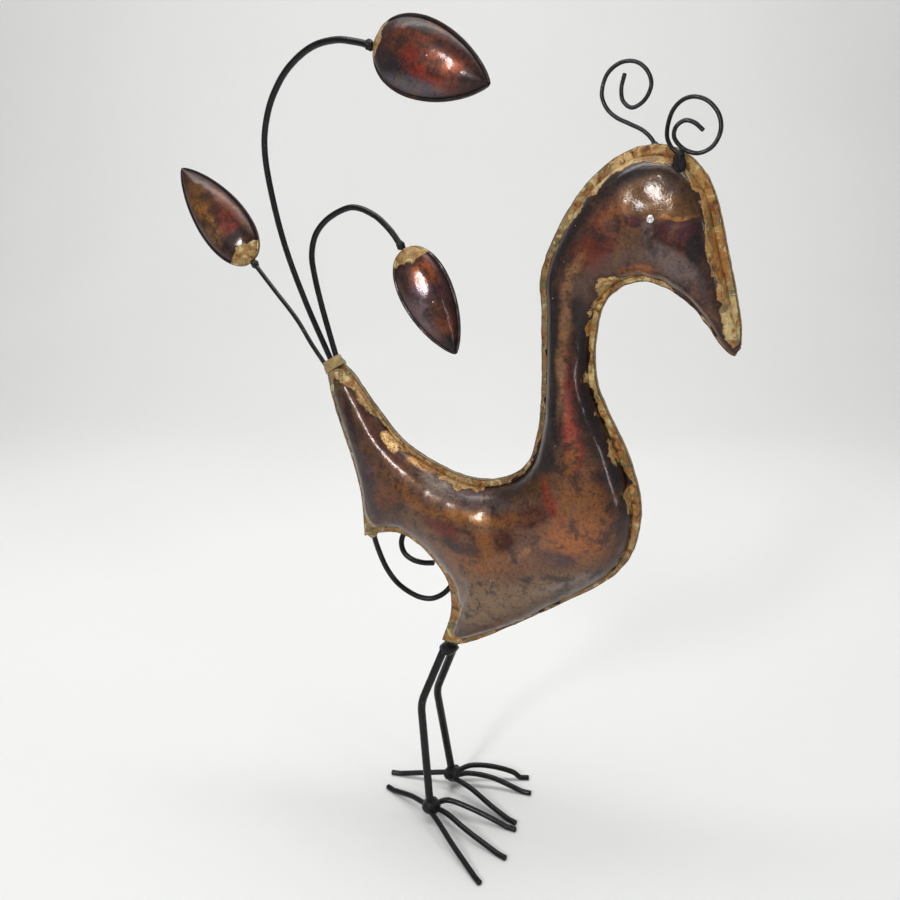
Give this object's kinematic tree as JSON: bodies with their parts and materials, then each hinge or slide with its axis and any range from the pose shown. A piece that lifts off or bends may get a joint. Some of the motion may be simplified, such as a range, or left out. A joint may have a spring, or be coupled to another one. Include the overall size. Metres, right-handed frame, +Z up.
{
  "type": "standing metal bird ornament",
  "caption": "Free-standing peacock-like bird of dished, flame-coloured sheet steel on wire feet, with wire crest curls and leaf-tipped tail wires that spring.",
  "frame": {"origin": "on the floor, under the middle of the bounding box", "axes": "+X towards the beak, +Y to the bird's left, +Z up"},
  "size_m": [0.3652, 0.1094, 0.4679],
  "materials": {
    "flame_coloured_steel": "hammered sheet, flame-coloured brown, purple and gold, under clear gloss lacquer",
    "leaf_steel": "dished sheet, flame-coloured dark red-brown, under clear gloss lacquer",
    "braze": "rough brass braze, unpolished",
    "black_wire": "semi-gloss black paint",
    "eye_metal": "bare bright metal"
  },
  "bodies": {
    "stand": {"ankle_weld_left": "black_wire", "ankle_weld_right": "black_wire", "belly_weld": "black_wire", "body_shell_left": "flame_coloured_steel", "body_shell_right": "flame_coloured_steel", "crest_curl_left": "black_wire", "crest_curl_right": "black_wire", "crest_weld_left": "black_wire", "crest_weld_right": "black_wire", "eye_stud_left": "eye_metal", "eye_stud_right": "eye_metal", "leg_left": "black_wire", "leg_right": "black_wire", "seam_back": "braze", "seam_breast": "braze", "seam_tail": "braze", "seam_vent": "braze", "tail_cap": "braze", "tail_curl": "black_wire", "tail_curl_weld": "braze", "toe_left_hind": "black_wire", "toe_left_inner": "black_wire", "toe_left_middle": "black_wire", "toe_left_outer": "black_wire", "toe_right_hind": "black_wire", "toe_right_inner": "black_wire", "toe_right_middle": "black_wire", "toe_right_outer": "black_wire"},
    "feather_tall": {"tail_wire_tall": "black_wire", "leaf_tall_front": "leaf_steel", "leaf_tall_back": "leaf_steel", "leaf_tall_weld": "black_wire"},
    "feather_short": {"tail_wire_short": "black_wire", "leaf_short_front": "leaf_steel", "leaf_short_back": "leaf_steel", "leaf_short_weld": "black_wire"},
    "feather_straight": {"tail_wire_straight": "black_wire", "leaf_straight_front": "leaf_steel", "leaf_straight_back": "leaf_steel", "leaf_straight_weld": "black_wire"}
  },
  "joints": [
    {"name": "sway_tall", "type": "hinge", "parent": "stand", "child": "feather_tall", "pos_m": [-0.05602, 0.00596, 0.28706], "axis": [0, 1, 0], "range_deg": [-3.5, 3.5], "stiffness_Nm_per_rad": 14},
    {"name": "sway_short", "type": "hinge", "parent": "stand", "child": "feather_short", "pos_m": [-0.05237, 0.00578, 0.28921], "axis": [0, 1, 0], "range_deg": [-2.5, 2.5], "stiffness_Nm_per_rad": 23},
    {"name": "sway_straight", "type": "hinge", "parent": "stand", "child": "feather_straight", "pos_m": [-0.05863, 0.00693, 0.28168], "axis": [0, 1, 0], "range_deg": [-3, 3], "stiffness_Nm_per_rad": 18}
  ]
}
